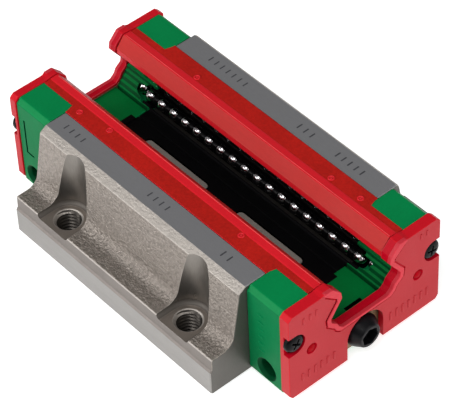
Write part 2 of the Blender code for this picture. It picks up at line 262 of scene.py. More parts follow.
def surface(name, base, rough, metallic=0.0, specular=0.5, grain=None, tone=None, fine=None,
            rough_var=0.04, stretch=(1, 1, 1), edge=None, bevel=0.0, coat=0.0):
    """A procedural finish: tone and roughness that vary, a grain bump, and
    edges tinted towards an edge colour along their rounding, a painted highlight.

    grain: (features per metre, depth in mm)     tone: (features per metre, amount)
    fine: (features per metre, amount)            edge: (radius mm, painted highlight colour, amount)
    """
    m = bpy.data.materials.new(name)
    m.use_nodes = True
    nt = m.node_tree
    n, l = nt.nodes, nt.links
    bsdf = n["Principled BSDF"]
    bsdf.inputs["Metallic"].default_value = metallic
    bsdf.inputs["Specular IOR Level"].default_value = specular
    if coat:
        bsdf.inputs["Coat Weight"].default_value = coat
        bsdf.inputs["Coat Roughness"].default_value = 0.15
    tc = n.new("ShaderNodeTexCoord")
    mp = n.new("ShaderNodeMapping")
    mp.inputs["Scale"].default_value = stretch
    l.new(tc.outputs["Object"], mp.inputs["Vector"])

    def noise(scale, detail=4.0, roughness=0.55):
        t = n.new("ShaderNodeTexNoise")
        t.inputs["Scale"].default_value = scale
        t.inputs["Detail"].default_value = detail
        t.inputs["Roughness"].default_value = roughness
        l.new(mp.outputs["Vector"], t.inputs["Vector"])
        return t

    def scaled(colour, k):
        return tuple(min(1.0, c * k) for c in colour) + (1.0,)

    ts, ta = tone or (120.0, 0.06)
    mix = n.new("ShaderNodeMix")
    mix.data_type = 'RGBA'
    mix.inputs["A"].default_value = scaled(base, 1 - ta)
    mix.inputs["B"].default_value = scaled(base, 1 + ta)
    ramp = n.new("ShaderNodeMapRange")
    ramp.inputs["From Min"].default_value = 0.3
    ramp.inputs["From Max"].default_value = 0.7
    l.new(noise(ts).outputs["Fac"], ramp.inputs["Value"])
    l.new(ramp.outputs["Result"], mix.inputs["Factor"])
    colour = mix.outputs["Result"]
    if fine:
        mul = n.new("ShaderNodeMix")
        mul.data_type = 'RGBA'
        mul.blend_type = 'MULTIPLY'
        mul.inputs["Factor"].default_value = 1.0
        sp = n.new("ShaderNodeMapRange")
        sp.inputs["From Min"].default_value = 0.3
        sp.inputs["From Max"].default_value = 0.7
        sp.inputs["To Min"].default_value = 1 - fine[1]
        sp.inputs["To Max"].default_value = 1.0
        l.new(noise(fine[0], 3.0).outputs["Fac"], sp.inputs["Value"])
        l.new(colour, mul.inputs["A"])
        l.new(sp.outputs["Result"], mul.inputs["B"])
        colour = mul.outputs["Result"]
    normal = None
    radius = edge[0] if edge else bevel
    if radius:
        bv = n.new("ShaderNodeBevel")
        bv.samples = 6
        bv.inputs["Radius"].default_value = radius * MM
        normal = bv.outputs["Normal"]
    # the edge colour is mixed in where the Bevel normal leaves the surface normal: a painted highlight along rounded
    # edges
    if edge:
        geo = n.new("ShaderNodeNewGeometry")
        dot = n.new("ShaderNodeVectorMath")
        dot.operation = 'DOT_PRODUCT'
        l.new(bv.outputs["Normal"], dot.inputs[0])
        l.new(geo.outputs["Normal"], dot.inputs[1])
        er = n.new("ShaderNodeMapRange")
        er.inputs["From Min"].default_value = 0.995
        er.inputs["From Max"].default_value = 0.86
        er.inputs["To Max"].default_value = edge[2]
        l.new(dot.outputs["Value"], er.inputs["Value"])
        em = n.new("ShaderNodeMix")
        em.data_type = 'RGBA'
        em.inputs["B"].default_value = tuple(edge[1]) + (1.0,)
        l.new(er.outputs["Result"], em.inputs["Factor"])
        l.new(colour, em.inputs["A"])
        colour = em.outputs["Result"]
    l.new(colour, bsdf.inputs["Base Color"])
    rr = n.new("ShaderNodeMapRange")
    rr.inputs["From Min"].default_value = 0.3
    rr.inputs["From Max"].default_value = 0.7
    rr.inputs["To Min"].default_value = max(0.02, rough - rough_var)
    rr.inputs["To Max"].default_value = min(1.0, rough + rough_var)
    l.new(noise(ts * 3.1).outputs["Fac"], rr.inputs["Value"])
    l.new(rr.outputs["Result"], bsdf.inputs["Roughness"])
    if grain:
        bump = n.new("ShaderNodeBump")
        bump.inputs["Strength"].default_value = 1.0
        bump.inputs["Distance"].default_value = grain[1] * MM
        l.new(noise(grain[0], 5.0, 0.6).outputs["Fac"], bump.inputs["Height"])
        if normal is not None:
            l.new(normal, bump.inputs["Normal"])
        normal = bump.outputs["Normal"]
    if normal is not None:
        l.new(normal, bsdf.inputs["Normal"])
    return m


# the edge colours in this table are painted highlights along rounded edges, lighter than each base
M = {
    "rough": surface("forged_steel", lin(156, 147, 139), 0.38, 0.72, grain=(1500, 0.46), tone=(500, 0.03),
                     fine=(1500, 0.38), rough_var=0.04, edge=(0.18, lin(205, 198, 190), 0.6)),
    # lighter dressed chamfer steel, also used as a painted highlight line on the flange's top edge
    "chamfer": surface("dressed_edge_and_highlight", lin(172, 165, 158), 0.5, 0.65, grain=(1500, 0.16), tone=(200, 0.05),
                       fine=(2500, 0.12), edge=(0.12, lin(205, 199, 191), 0.4)),
    "ground": surface("ground_strip", lin(126, 126, 128), 0.42, 0.3, grain=(3000, 0.004), tone=(90, 0.03),
                      fine=(5200, 0.07), rough_var=0.05, stretch=(0.12, 1, 1)),
    "datum": surface("ground_datum", lin(140, 137, 134), 0.42, 0.6, grain=(3000, 0.004), tone=(90, 0.04),
                     fine=(4200, 0.08), rough_var=0.05, stretch=(0.12, 1, 1), edge=(0.15, lin(175, 171, 166), 0.4)),
    "step": surface("flange_step", lin(122, 115, 110), 0.5, 0.6, grain=(2200, 0.02), tone=(90, 0.05),
                    fine=(3600, 0.12), edge=(0.10, lin(215, 208, 200), 0.7)),
    # ground end-face steel, darkened below the block's own grey as painted shade near the caps
    "face": surface("ground_face_painted_shade", lin(93, 90, 86), 0.45, 0.7, grain=(2600, 0.005), tone=(80, 0.05),
                    fine=(3600, 0.08), rough_var=0.05, edge=(0.15, lin(185, 180, 172), 0.5)),
    "milled": surface("milled_pocket", lin(128, 123, 117), 0.30, 0.85, grain=(2400, 0.006), tone=(120, 0.05),
                      fine=(4200, 0.12), rough_var=0.05, stretch=(1, 1, 0.15), edge=(0.14, lin(205, 198, 190), 0.7)),
    "spot": surface("spot_face", lin(138, 129, 121), 0.42, 0.75, grain=(2200, 0.008), tone=(150, 0.08),
                    fine=(3800, 0.12)),
    # dark dull steel for the fillet at the pocket floor: painted shade in the crease
    "foot": surface("pocket_foot_painted_shade", lin(92, 86, 80), 0.58, 0.45, grain=(2200, 0.008), tone=(150, 0.06), fine=(3800, 0.1)),
    "thread": surface("tapped_thread", lin(64, 60, 56), 0.34, 0.85, grain=(3000, 0.004), tone=(300, 0.08)),
    "channel": surface("channel_steel", lin(58, 55, 52), 0.36, 0.85, grain=(2200, 0.01), tone=(120, 0.06),
                       fine=(3600, 0.10), stretch=(0.2, 1, 1)),
    "land": surface("window_land", lin(150, 143, 135), 0.5, 0.3, grain=(2000, 0.02), tone=(200, 0.08),
                    fine=(3000, 0.15), edge=(0.15, lin(185, 178, 170), 0.6)),
    "green": surface("green_moulding", lin(0, 127, 68), 0.45, 0.0, 0.08, grain=(1800, 0.008), tone=(90, 0.07),
                     fine=(1500, 0.07), edge=(0.22, lin(20, 160, 105), 0.5)),
    # darker copy of the cap green for faces inside the rail channel: painted shade
    "green_in_shade": surface("green_moulding_inside_painted_shade", lin(0, 110, 50), 0.5, 0.0, 0.07, grain=(1800, 0.008), tone=(90, 0.08),
                        fine=(1500, 0.08), edge=(0.12, lin(30, 140, 95), 0.5)),
    # still darker green for the rib risers: painted shade between the ribs
    "green_rib_shade": surface("green_moulding_rib_painted_shade", lin(0, 74, 36), 0.5, 0.0, 0.07, grain=(1800, 0.008), tone=(90, 0.08),
                        fine=(1500, 0.08), edge=(0.12, lin(30, 140, 95), 0.5)),
    # darker copy of the cap green for the side faces and their bars: painted shade
    "green_side_shade": surface("green_moulding_side_painted_shade", lin(0, 110, 62), 0.45, 0.0, 0.05, grain=(1800, 0.008), tone=(90, 0.07),
                          fine=(1500, 0.07), edge=(0.22, lin(10, 150, 95), 0.5)),
    # dark green for the walls of bores and the engraved line: painted shade in the holes
    "green_bore_shade": surface("green_moulding_bore_painted_shade", lin(0, 64, 34), 0.5, 0.0, 0.05, tone=(90, 0.1)),
    "red": surface("red_seal", lin(212, 26, 38), 0.36, 0.0, 0.16, grain=(1700, 0.008), tone=(60, 0.05),
                   fine=(1500, 0.06), edge=(0.16, lin(232, 62, 66), 0.5)),
    "red_dull": surface("red_seal_textured", lin(182, 26, 18), 0.62, 0.0, 0.12, grain=(2600, 0.03), tone=(70, 0.12),
                        fine=(1700, 0.22)),
    "red_slope": surface("red_seal_slope", lin(188, 36, 32), 0.5, 0.0, 0.18, grain=(2400, 0.015), tone=(60, 0.06),
                         fine=(2200, 0.08), stretch=(0.3, 1, 1)),
    "red_body": surface("red_end_seal", lin(200, 20, 34), 0.38, 0.0, 0.08, grain=(1700, 0.008), tone=(60, 0.05),
                        fine=(1500, 0.06), edge=(0.16, lin(224, 60, 64), 0.5)),
    # darker copy of the seal red for the side faces: painted shade
    "red_side_shade": surface("red_end_seal_side_painted_shade", lin(178, 32, 40), 0.45, 0.0, 0.16, grain=(1700, 0.008), tone=(60, 0.05),
                        fine=(1500, 0.06), edge=(0.16, lin(206, 62, 68), 0.5)),
    # lighter pinkish red for the raised lip and the sill's rear rounding: seal rubber with a painted highlight
    "lip": surface("red_seal_lip_painted_highlight", lin(196, 48, 60), 0.5, 0.0, 0.14, tone=(80, 0.06),
                   fine=(2200, 0.08), edge=(0.14, lin(226, 88, 100), 0.6)),
    "red_matte": surface("red_seal_matte", lin(171, 44, 50), 0.6, 0.0, 0.14, grain=(2400, 0.02), tone=(80, 0.04),
                         fine=(2200, 0.06), edge=(0.18, lin(222, 74, 82), 0.6)),
    # deeper crimson for walls in the rail opening, port, slots, groove and dimples: painted shade in recesses
    "red_recess_shade": surface("red_seal_inner_painted_shade", lin(186, 8, 32), 0.4, 0.0, 0.05, grain=(2000, 0.006), tone=(80, 0.08),
                        fine=(1900, 0.12)),
    # dark red for the domes inside the dimples: painted shade
    "red_dimple_shade": surface("red_seal_dimple_painted_shade", lin(156, 0, 16), 0.5, 0.0, 0.03, tone=(300, 0.1)),
    # light pink for a thin bead along the strip's ridge: a painted highlight line
    "seam_highlight": surface("red_seam_painted_highlight", lin(236, 88, 88), 0.4, 0.0, 0.4, tone=(300, 0.15)),
    "black": surface("black_retainer", lin(6, 6, 7), 0.42, 0.0, 0.05, grain=(1500, 0.006), tone=(100, 0.2)),
    "spacer": surface("black_spacer", lin(6, 6, 7), 0.25, 0.0, 0.14, tone=(300, 0.2)),
    "oxide": surface("black_oxide", lin(7, 7, 8), 0.2, 0.0, 0.07, grain=(2400, 0.006), tone=(200, 0.15),
                     edge=(0.12, lin(96, 98, 98), 0.5)),
    "plug": surface("plug_black", lin(10, 10, 13), 0.36, 0.0, 0.14, grain=(1900, 0.008), tone=(150, 0.15),
                    edge=(0.16, lin(62, 64, 68), 0.6)),
    "tan": surface("passivated_plate", lin(132, 108, 78), 0.42, 0.6, grain=(1800, 0.008), tone=(140, 0.18),
                   fine=(900, 0.15), edge=(0.12, lin(185, 160, 120), 0.5)),
    "tube": surface("natural_tube", lin(200, 200, 192), 0.4, 0.0, 0.5, grain=(1500, 0.006), tone=(80, 0.05)),
    "ball": surface("bearing_ball", lin(190, 188, 190), 0.11, 1.0, tone=(200, 0.02), rough_var=0.02),
    "etched": surface("etched_mark", lin(70, 70, 74), 0.6, 0.3, tone=(700, 0.2), fine=(4000, 0.3)),
}


# -------------------------------------------------------------------- camera
def add_camera():
    data = bpy.data.cameras.new("camera")
    data.sensor_width = 36.0
    data.lens = 207.96
    data.clip_start = 0.01
    data.clip_end = 50.0
    cam = bpy.data.objects.new("camera", data)
    bpy.context.scene.collection.objects.link(cam)
    right = Vector((0.657127, 0.752907, -0.036255))
    up = Vector((-0.520166, 0.487754, 0.701089))
    back = Vector((0.545537, -0.441845, 0.712153))
    m = Matrix((right, up, back)).transposed().to_4x4()
    m.translation = Vector((307.501, -247.953, 411.167)) * MM
    cam.matrix_world = m
    bpy.context.scene.camera = cam


def add_light(name, direction, distance, size, power, target=(0.0, 0.0, 12.0), size_y=None, colour=(1, 1, 1)):
    data = bpy.data.lights.new(name, 'AREA')
    data.shape = 'RECTANGLE'
    data.size = size
    data.size_y = size_y or size
    data.energy = power
    data.color = colour
    ob = bpy.data.objects.new(name, data)
    bpy.context.scene.collection.objects.link(ob)
    d = Vector(direction).normalized()
    t = Vector(target) * MM
    ob.location = t + d * distance
    ob.rotation_euler = d.to_track_quat('Z', 'Y').to_euler()
    return ob


def add_stage():
    bm = bmesh.new()
    n = 48
    ring = [bm.verts.new((2200 * math.cos(2 * math.pi * i / n), 2200 * math.sin(2 * math.pi * i / n), -0.02)) for i in range(n)]
    bm.faces.new(ring)
    m = bpy.data.materials.new("pale_floor")
    m.use_nodes = True
    b = m.node_tree.nodes["Principled BSDF"]
    b.inputs["Base Color"].default_value = (0.90, 0.90, 0.90, 1)
    b.inputs["Roughness"].default_value = 0.9
    b.inputs["Specular IOR Level"].default_value = 0.1
    b.inputs["Emission Color"].default_value = (1, 1, 1, 1)
    # the floor glows like a light table, but not under the part itself
    nt = m.node_tree
    tc = nt.nodes.new("ShaderNodeTexCoord")
    sep = nt.nodes.new("ShaderNodeSeparateXYZ")
    nt.links.new(tc.outputs["Object"], sep.inputs["Vector"])
    masks = []
    for axis, limit in (("X", 40.0), ("Y", 20.0)):
        pos = nt.nodes.new("ShaderNodeMath")
        pos.operation = 'ABSOLUTE'
        nt.links.new(sep.outputs[axis], pos.inputs[0])
        test = nt.nodes.new("ShaderNodeMath")
        test.operation = 'GREATER_THAN'
        test.inputs[1].default_value = limit * MM
        nt.links.new(pos.outputs[0], test.inputs[0])
        masks.append(test)
    for axis, limit in (("X", 31.5), ("Y", 30.0)):
        pos = nt.nodes.new("ShaderNodeMath")
        pos.operation = 'ABSOLUTE'
        nt.links.new(sep.outputs[axis], pos.inputs[0])
        test = nt.nodes.new("ShaderNodeMath")
        test.operation = 'GREATER_THAN'
        test.inputs[1].default_value = limit * MM
        nt.links.new(pos.outputs[0], test.inputs[0])
        masks.append(test)
    outs = []
    for i in (0, 2):
        both = nt.nodes.new("ShaderNodeMath")
        both.operation = 'MAXIMUM'
        nt.links.new(masks[i].outputs[0], both.inputs[0])
        nt.links.new(masks[i + 1].outputs[0], both.inputs[1])
        outs.append(both)
    glow = nt.nodes.new("ShaderNodeMath")
    glow.operation = 'MINIMUM'
    nt.links.new(outs[0].outputs[0], glow.inputs[0])
    nt.links.new(outs[1].outputs[0], glow.inputs[1])
    power = nt.nodes.new("ShaderNodeMath")
    power.operation = 'MULTIPLY'
    power.inputs[1].default_value = 0.6
    nt.links.new(glow.outputs[0], power.inputs[0])
    nt.links.new(power.outputs[0], b.inputs["Emission Strength"])
    floor = build("floor", bm, [m])
    world = bpy.data.worlds.new("studio")
    world.use_nodes = True
    bg = world.node_tree.nodes["Background"]
    bg.inputs["Color"].default_value = (1.0, 1.0, 1.0, 1)
    bg.inputs["Strength"].default_value = 0.24
    bpy.context.scene.world = world
    bpy.context.scene.view_settings.view_transform = 'Standard'
    add_light("left_softbox", (-0.35, -1.0, 0.50), 0.60, 0.50, 1.85)
    add_light("fillet_light", (-0.545, -0.80, 0.37), 0.60, 0.11, 0.50)
    add_light("right_softbox", (1.0, 0.22, 0.50), 0.60, 0.50, 1.9)
    add_light("top_softbox", (0.25, -0.55, 1.0), 0.80, 0.35, 2.0)


# --------------------------------------------------------------------- block
HOLES = [(sx * 20.0, sy * 26.5) for sx in (-1, 1) for sy in (-1, 1)]
MAT_BLOCK = ["rough", "chamfer", "ground", "datum", "face", "channel", "step"]


def thread_cutter(bm, x, y, z0, z1, minor, major, pitch, n=48, mat=0):
    """A solid whose skin is a screw thread, for cutting a tapped hole."""
    per = 8
    rows = int((z1 - z0) / pitch * per)
    rings = []
    for j in range(rows + 1):
        z = z0 + (z1 - z0) * j / rows
        ring = []
        for i in range(n):
            t = i / n
            f = (z / pitch - t) % 1.0
            w = abs(2 * f - 1)                       # 1 at the crest, 0 at the root
            w = min(1.0, max(0.0, (w - 0.14) / 0.68))
            r = minor + (major - minor) * (1 - w)
            a = 2 * math.pi * t
            ring.append((x + r * math.cos(a), y + r * math.sin(a), z))
        rings.append(ring)
    loft(bm, rings, mat)


def block_outline():
    """The forged skin sits a little off centre, so the two slopes differ."""
    inner = [(15.65, 25.4, 0.1), (15.65, 23.9, 0.2), (9.9, 23.9, 0.2)]
    inner += arc(9.0, 20.9, 2.0, 95, 0, 8)
    inner += [(12.2, 19.7, 0.3), (12.2, 14.9, 0.3)]
    inner += arc(9.35, 13.2, 2.0, 10, -100, 9)
    inner += [(8.0, 10.9), (7.2, 9.5, 0.2)]
    foot = [(31.5, 0.0, 0.5), (31.5, 6.55, 0.25), (31.08, 7.1, 0.25), (30.95, 10.2, 0.34)]
    near = foot + [(25.45, 10.35, 3.6), (22.95, 24.2, 0.35), (21.1, 25.4, 0.12)] + inner
    far = foot + [(24.6, 10.35, 3.6), (22.05, 24.3, 0.3), (21.75, 24.95, 0.25), (21.12, 25.4, 0.1)] + inner
    return far + flip(near[::-1], -1)


def make_block():
    bm = bmesh.new()
    prism(bm, block_outline(), -32.6, 32.6, "X", 0.4, 0.4, 3)
    bmesh.ops.recalc_face_normals(bm, faces=bm.faces[:])
    for f in bm.faces:
        c, nrm = f.calc_center_median(), f.normal
        ay = abs(c.y)
        # end faces and underside take the darkened end-face steel: painted shade
        if abs(nrm.x) > 0.8 or c.z < 0.06:
            k = 4
        elif c.z > 25.2 and ay < 21.2 and nrm.z > 0.7:
            k = 2
        elif ay < 15.8:
            k = 5
        elif c.z > 24.0:
            k = 1
        # the rounding along the flange's top edge takes the lighter chamfer finish: a painted highlight line
        elif ay > 30.6 and c.z > 9.82 and 0.12 < nrm.z < 0.97:
            k = 1
        elif ay > 30.9 and c.z < 6.6:
            k = 3
        elif ay > 30.9 and c.z < 10.1:
            k = 6
        else:
            k = 0
        f.material_index = k
    ob = build("block", bm, [M[k] for k in MAT_BLOCK], smooth=32)

    bm = bmesh.new()
    for x, y in HOLES:
        sx, sy = (1 if x > 0 else -1), (1 if y > 0 else -1)
        pts = [(25.12, 34.0)] + arc(20.0, 26.62, 5.12, 0, -180, 40) + [(14.88, 34.0)]
        before, lean = len(bm.faces), len(bm.verts)
        prism(bm, [(sx * u, sy * v) for u, v in pts], 9.2, 30.0, "Z", 1.1, 0.0, 6)
        bm.faces.ensure_lookup_table()
        bm.verts.ensure_lookup_table()
        for f in bm.faces[before:]:
            z = f.calc_center_median().z
            # the fillet between pocket wall and floor (index 2) takes the dark foot finish as painted shade
            f.material_index = 1 if z < 9.25 else 2 if z < 10.25 else 0
        for v in bm.verts[lean:]:
            v.co.y += sy * 0.026 * (v.co.z - 9.2)
    boolean(ob, build("cut_pockets", bm, [M["milled"], M["spot"], M["foot"]]))

    bm = bmesh.new()
    for x, y in HOLES:
        thread_cutter(bm, x, y, -0.6, 9.9, 2.55, 3.12, 1.0)
    boolean(ob, build("cut_threads", bm, [M["thread"]]))
    bm = bmesh.new()
    for x, y in HOLES:
        lathe(bm, [(8.3, 2.2), (8.45, 2.6), (9.0, 3.1), (9.14, 3.24), (9.26, 3.46), (9.6, 4.0)], (x, y, 0), (0, 0, 1), 64)
        lathe(bm, [(-0.5, 3.65), (0.05, 3.25), (0.75, 2.4)], (x, y, 0), (0, 0, 1), 64)
    boolean(ob, build("cut_countersinks", bm, [M["chamfer"]]))

    bm = bmesh.new()
    for sy in (-1, 1):
        for y, z in ((16.4, 11.4), (16.28, 20.75)):
            lathe(bm, [(-34.0, 2.62), (34.0, 2.62)], (0, sy * y, z), (1, 0, 0), 40)
        for sx in (-1, 1):
            lathe(bm, [(25.0, 0.3), (25.8, 1.4), (34.0, 1.4)], (0, sy * 19.1, 16.9), (sx, 0, 0), 24)
    boolean(ob, build("cut_bores", bm, [M["channel"]]))
    finish_piece(ob, replaces=("block_body",))
    bm = bmesh.new()                                     # lands that show in the retainer's windows
    for sx in (-1, 1):
        prism(bm, [(sx * 5.15, -1.25, 1.0), (sx * 25.45, -1.25, 1.0), (sx * 25.45, 1.25, 1.0), (sx * 5.15, 1.25, 1.0)],
              9.3, 11.25, "Z", 0.0, 0.12, 2)
    ob = build("block_lands", bm, [M["land"]], smooth=32)
    finish_piece(ob)


def make_marks():
    """Plain dashes where the real block carries etched figures."""
    bm = bmesh.new()

    def row(sy, x0, count, pitch, length, width, yc):
        for i in range(count):
            x = x0 + i * pitch
            y = sy * yc
            box(bm, (x, y - length / 2, 25.39), (x + width, y + length / 2, 25.412))

    row(-1, -29.0, 4, 1.9, 1.5, 0.32, 18.3)
    row(-1, -1.0, 4, 1.9, 1.5, 0.32, 18.3)
    row(-1, 22.4, 2, 2.0, 1.7, 0.36, 18.3)
    row(1, -24.0, 7, 1.9, 1.5, 0.32, 18.6)
    row(1, 5.2, 3, 2.0, 1.6, 0.36, 18.4)
    row(1, 17.2, 5, 1.9, 1.6, 0.36, 18.4)
    ob = build("etched_dashes", bm, [M["etched"]], weighted=False)
    finish_piece(ob)


# ---------------------------------------------------------------- ball train
BALL_R, PITCH, BALLS = 1.5875, 4.0, 41
CIRCUITS = {"deep": ((9.35, 13.2), (16.4, 11.4)), "shallow": ((9.0, 20.9), (16.28, 20.75))}


class Circuit:
    def __init__(self, loaded, back, side):
        self.a = Vector((0.0, side * loaded[0], loaded[1]))
        self.b = Vector((0.0, side * back[0], back[1]))
        self.mid = (self.a + self.b) / 2
        self.across = (self.b - self.a).normalized()
        self.r = (self.b - self.a).length / 2
        self.total = BALLS * PITCH
        self.half = (self.total - 2 * math.pi * self.r) / 4
        self.normal = Vector((1, 0, 0)).cross(self.across)

    def at(self, s):
        x = Vector((1.0, 0.0, 0.0))
        turn = math.pi * self.r
        s = (s + self.half) % self.total
        if s <= 2 * self.half:
            return self.a + x * (s - self.half), x
        s -= 2 * self.half
        if s <= turn:
            t = s / self.r
            return (self.mid + x * (self.half + self.r * math.sin(t)) - self.across * (self.r * math.cos(t)),
                    x * math.cos(t) + self.across * math.sin(t))
        s -= turn
        if s <= 2 * self.half:
            return self.b + x * (self.half - s), -x
        s -= 2 * self.half
        t = s / self.r
        return (self.mid - x * (self.half + self.r * math.sin(t)) + self.across * (self.r * math.cos(t)),
                -x * math.cos(t) - self.across * math.sin(t))

    def ring(self, s, r, n, phase=0.0):
        p, t = self.at(s)
        side = self.normal.cross(t)
        return [tuple(p + side * (r * math.cos(q)) + self.normal * (r * math.sin(q)))
                for q in (phase + 2 * math.pi * i / n for i in range(n))]


def ball(bm, centre, tangent, side, n, m):
    """A sphere with its poles on the path of the row."""
    w = tangent.normalized()
    u = side.normalized()
    v = w.cross(u)
    rows = []
    for j in range(1, m):
        t = math.pi * j / m
        rows.append([bm.verts.new(centre + w * (-BALL_R * math.cos(t)) +
                                  (u * math.cos(q) + v * math.sin(q)) * (BALL_R * math.sin(t)))
                     for q in (2 * math.pi * i / n for i in range(n))])
    p0, p1 = bm.verts.new(centre - w * BALL_R), bm.verts.new(centre + w * BALL_R)
    for i in range(n):
        j = (i + 1) % n
        bm.faces.new((p0, rows[0][j], rows[0][i]))
        bm.faces.new((p1, rows[-1][i], rows[-1][j]))
    for a, b in zip(rows, rows[1:]):
        for i in range(n):
            j = (i + 1) % n
            bm.faces.new((a[i], a[j], b[j], b[i]))


def ball_row(name, node, body, c, first, count, n, m):
    bm = bmesh.new()
    for k in range(count):
        p, t = c.at(first + k * PITCH)
        ball(bm, p, t, c.normal, n, m)
    ob = build(name, bm, [M["ball"]], smooth=180, weighted=False)
    finish_piece(ob, body, (node,))

    bm = bmesh.new()                                     # spacers between the balls
    seg = 20 if n > 16 else 10
    for k in range(count - 1):
        s = first + (k + 0.5) * PITCH
        rings = []
        for d, r in ((-0.38, 0.3), (-0.46, 0.75), (-0.78, 1.12), (-0.70, 1.25), (-0.35, 1.28),
                     (0.35, 1.28), (0.70, 1.25), (0.78, 1.12), (0.46, 0.75), (0.38, 0.3)):
            rings.append(c.ring(s + d, r, seg))
        loft(bm, rings)
    for sn in (-1, 1):                                   # the two bands that join them
        rings = []
        steps = count * 4
        # shorter where a length runs into or out of a turn, so it never rubs there
        s0 = first - (0.0 if "rear_turn" in name else 0.6)
        s1 = first + (count - 1) * PITCH + (0.0 if "front_turn" in name else 0.6)
        for i in range(steps + 1):
            p, t = c.at(s0 + (s1 - s0) * i / steps)
            side = c.normal.cross(t)
            q = p + c.normal * (sn * 1.74)
            h, w = 0.10, 0.36
            rings.append([tuple(q + side * a + c.normal * b) for a, b in ((-w, -h), (w, -h), (w, h), (-w, h))])
        loft(bm, rings)
        for k in range(count - 1):                       # webs from band to spacer
            s = first + (k + 0.5) * PITCH
            rings = []
            for d in (-0.3, 0.3):
                p, t = c.at(s + d)
                side = c.normal.cross(t)
                rings.append([tuple(p + side * a + c.normal * (sn * b)) for a, b in
                              ((-0.3, 1.1), (0.3, 1.1), (0.3, 1.66), (-0.3, 1.66))])
            loft(bm, rings)
    ob = build(name.replace("balls", "spacer_chain"), bm, [M["spacer"]], smooth=40)
    finish_piece(ob, body)


def make_balls():
    for depth, (loaded, back) in CIRCUITS.items():
        for side, sy in (("left", 1), ("right", -1)):
            key = depth + "_" + side
            c = Circuit(loaded, back, sy)
            hi = (28, 16)
            lo = (12, 8)
            ball_row("balls_loaded_" + key, "loaded_balls_" + key, "loaded_row_" + key, c, -34.0, 18, *hi)
            ball_row("balls_front_turn_" + key, "front_turn_balls_" + key, "front_turn_" + key, c, 38.0, 3, *lo)
            ball_row("balls_return_" + key, "return_balls_" + key, "return_row_" + key, c, 50.0, 17, *lo)
            ball_row("balls_rear_turn_" + key, "rear_turn_balls_" + key, "rear_turn_" + key, c, 118.0, 3, *lo)


